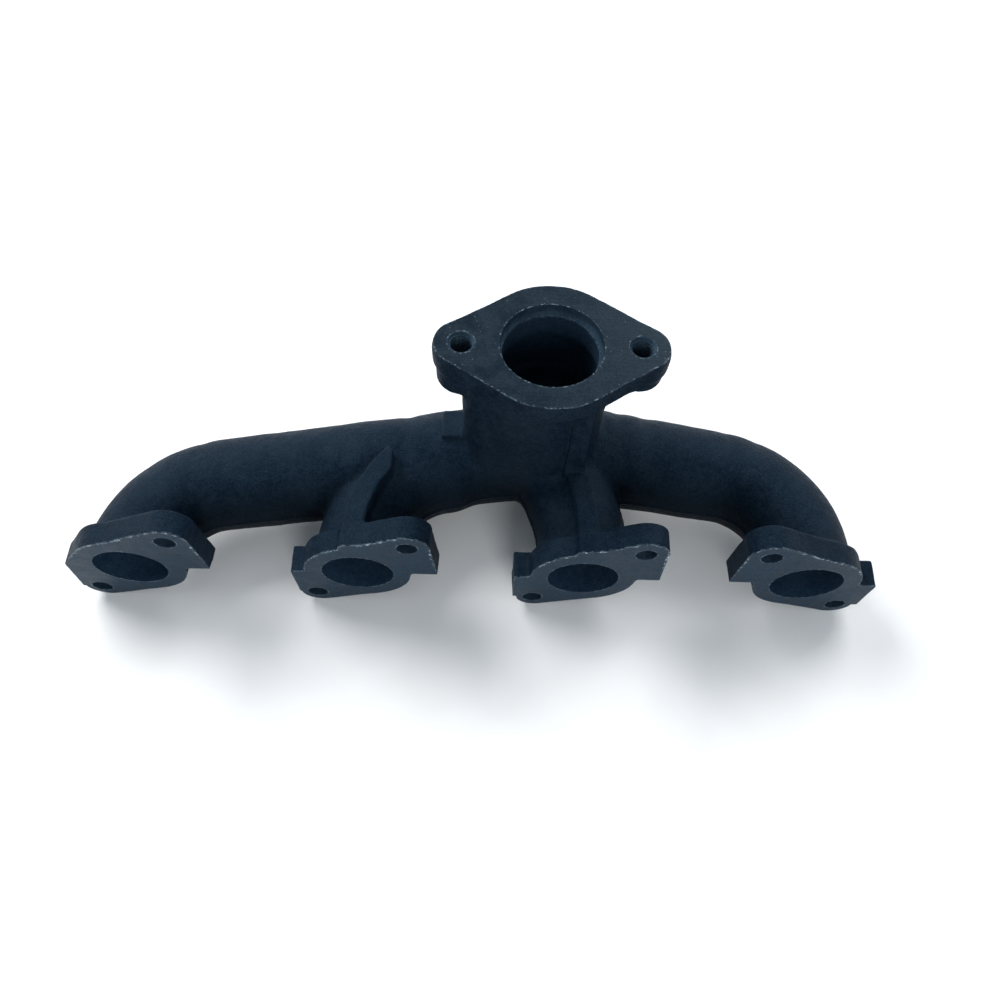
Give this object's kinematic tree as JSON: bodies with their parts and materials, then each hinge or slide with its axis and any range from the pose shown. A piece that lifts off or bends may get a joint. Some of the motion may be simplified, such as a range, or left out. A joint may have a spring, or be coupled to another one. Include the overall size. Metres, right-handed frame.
{
  "type": "exhaust manifold",
  "caption": "Cast-iron log-type exhaust manifold: side flanges on curved runners feed one horizontal log with an upright oval two-stud outlet flange.",
  "frame": {"origin": "centre of the bottom of the bounding box", "axes": "+X along the log from port 1 to port 4, +Y away from the cylinder head, +Z out of the outlet"},
  "size_m": [0.355, 0.0936, 0.1106],
  "materials": {
    "cast_skin": "satin blue-black coating over a fine sand-cast skin",
    "machined_face": "milled face under the same thin coating, satin, with bright nicked edges"
  },
  "bodies": {
    "root": {"port_flange_1": "machined_face", "port_flange_2": "machined_face", "port_flange_3": "machined_face", "port_flange_4": "machined_face", "elbow_left": "cast_skin", "runner_2": "cast_skin", "runner_3": "cast_skin", "elbow_right": "cast_skin", "log_left": "cast_skin", "log_junction_2": "cast_skin", "log_centre": "cast_skin", "log_right": "cast_skin", "outlet_neck": "cast_skin", "outlet_flange": "machined_face", "stud_boss_left": "cast_skin", "stud_boss_right": "cast_skin", "boss_gusset_right": "cast_skin", "runner_2_rib": "cast_skin", "runner_3_rib": "cast_skin", "neck_rib": "cast_skin", "neck_foot_pad": "cast_skin"}
  },
  "joints": []
}
